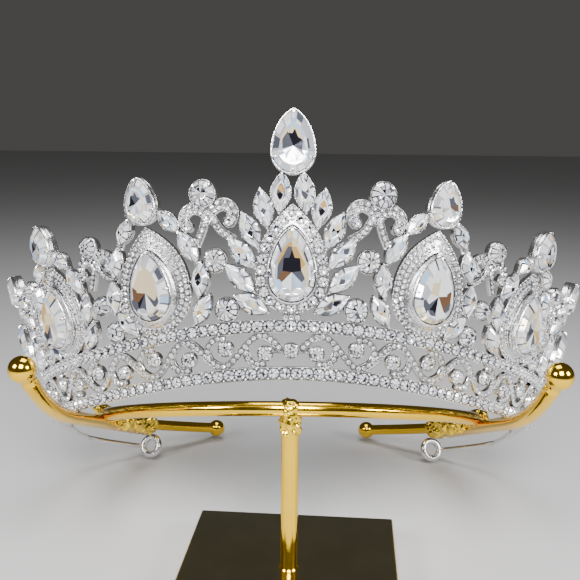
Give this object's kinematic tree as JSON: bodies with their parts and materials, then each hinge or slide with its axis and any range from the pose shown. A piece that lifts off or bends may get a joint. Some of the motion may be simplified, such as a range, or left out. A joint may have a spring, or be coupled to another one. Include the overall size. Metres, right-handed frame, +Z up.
{
  "type": "crystal tiara on display stand",
  "caption": "Silver tiara with pear-stone crests, a scroll gallery and end loops, resting on a gold ring stand with two arms and a square base.",
  "frame": {"origin": "centre of the base plate's underside, on the post's axis", "axes": "+Z up, -Y towards the front of the tiara, +X to the right seen from the front"},
  "size_m": [0.1744, 0.1345, 0.1238],
  "materials": {
    "silver_setting": "bright silver plate",
    "crystal": "foil-backed cut crystal",
    "polished_gold": "polished gold plate",
    "mirror_plate": "mirror-polished gold plate"
  },
  "bodies": {
    "root": {"base_plate": "mirror_plate", "stand_frame": "polished_gold", "tiara_frame": "silver_setting", "gallery_stones": "crystal", "pear_c": "crystal", "pear_l1": "crystal", "pear_r1": "crystal", "pear_l2": "crystal", "pear_r2": "crystal", "pear_l3": "crystal", "pear_r3": "crystal", "finial_c": "crystal", "finial_l1": "crystal", "finial_r1": "crystal", "finial_l2": "crystal", "finial_r2": "crystal", "finial_l3": "crystal", "finial_r3": "crystal", "marquises_c": "crystal", "marquises_l1": "crystal", "marquises_r1": "crystal", "marquises_l2": "crystal", "marquises_r2": "crystal", "marquises_l3": "crystal", "marquises_r3": "crystal", "top_round_l1": "crystal", "top_round_r1": "crystal", "top_round_l2": "crystal", "top_round_r2": "crystal", "top_round_l3": "crystal", "top_round_r3": "crystal", "mid_round_l1": "crystal", "mid_round_r1": "crystal", "mid_round_l2": "crystal", "mid_round_r2": "crystal", "mid_round_l3": "crystal", "mid_round_r3": "crystal", "low_round_l1": "crystal", "low_round_r1": "crystal", "low_round_l2": "crystal", "low_round_r2": "crystal", "low_round_l3": "crystal", "low_round_r3": "crystal"}
  },
  "joints": []
}
